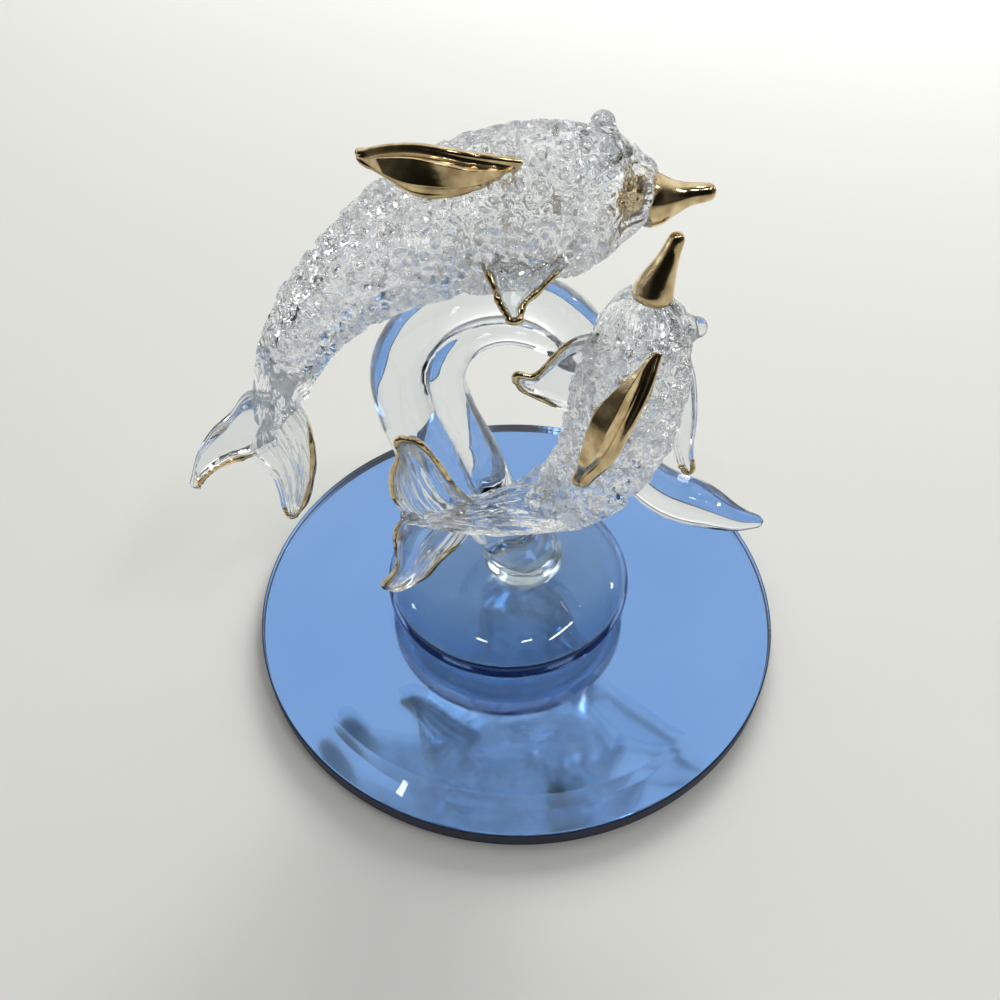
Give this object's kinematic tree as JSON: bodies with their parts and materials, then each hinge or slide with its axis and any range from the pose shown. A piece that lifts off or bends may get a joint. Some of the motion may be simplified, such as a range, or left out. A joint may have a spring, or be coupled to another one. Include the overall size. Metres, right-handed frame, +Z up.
{
  "type": "spun glass dolphin figurine",
  "caption": "Pair of spun glass dolphins with gold fins on a clear glass wave, standing on a blue glass dome and a round bevelled mirror.",
  "frame": {"origin": "centre of the mirror's underside", "axes": "+Z up out of the mirror, +X the way the large dolphin swims, -Y towards the viewer"},
  "size_m": [0.1049, 0.102, 0.0995],
  "materials": {
    "bevelled_mirror": "blue silvered mirror glass, polished",
    "glass_dome": "clear light blue glass, polished",
    "glass_wave": "clear glass, polished",
    "large_dolphin": "spun clear glass with gold lustre on beak and fins",
    "small_dolphin": "spun clear glass with gold lustre on beak and fins"
  },
  "bodies": {
    "root": {"bevelled_mirror": "bevelled_mirror", "glass_dome": "glass_dome", "glass_wave": "glass_wave", "large_dolphin": "large_dolphin", "small_dolphin": "small_dolphin"}
  },
  "joints": []
}
